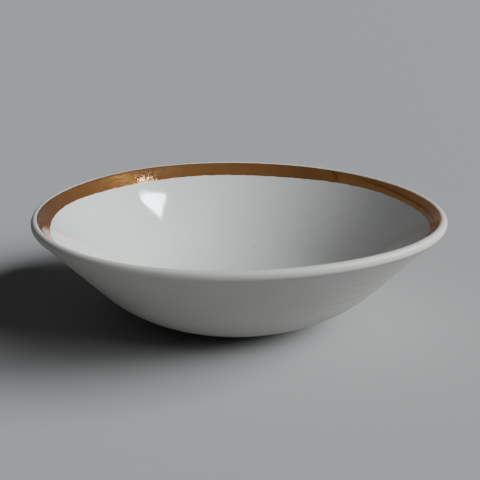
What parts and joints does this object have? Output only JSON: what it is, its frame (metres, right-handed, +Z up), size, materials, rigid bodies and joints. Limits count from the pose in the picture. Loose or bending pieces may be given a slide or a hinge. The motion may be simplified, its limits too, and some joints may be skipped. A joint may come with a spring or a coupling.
{
  "type": "porcelain serving bowl",
  "caption": "Wide round serving bowl with flared straight sides, a rounded lip, a low foot ring and a gold lustre band inside the lip.",
  "frame": {"origin": "on the table, at the centre of the foot ring's underside", "axes": "+Z up along the bowl's axis of revolution; X and Y across the bowl, which is round"},
  "size_m": [0.25, 0.25, 0.07],
  "materials": {
    "porcelain": "fired porcelain clay",
    "bare_porcelain": "unglazed, wiped and rubbed smooth",
    "satin_glaze": "satin off-white glaze",
    "gloss_glaze": "glossy white glaze with a few iron specks",
    "gold_lustre": "brushed-on copper-gold lustre, partly pitted"
  },
  "bodies": {
    "root": {"porcelain_body": "porcelain", "foot_ring": "bare_porcelain", "outer_glaze": "satin_glaze", "inner_glaze": "gloss_glaze", "foot_well_glaze": "satin_glaze", "gold_band": "gold_lustre"}
  },
  "joints": []
}
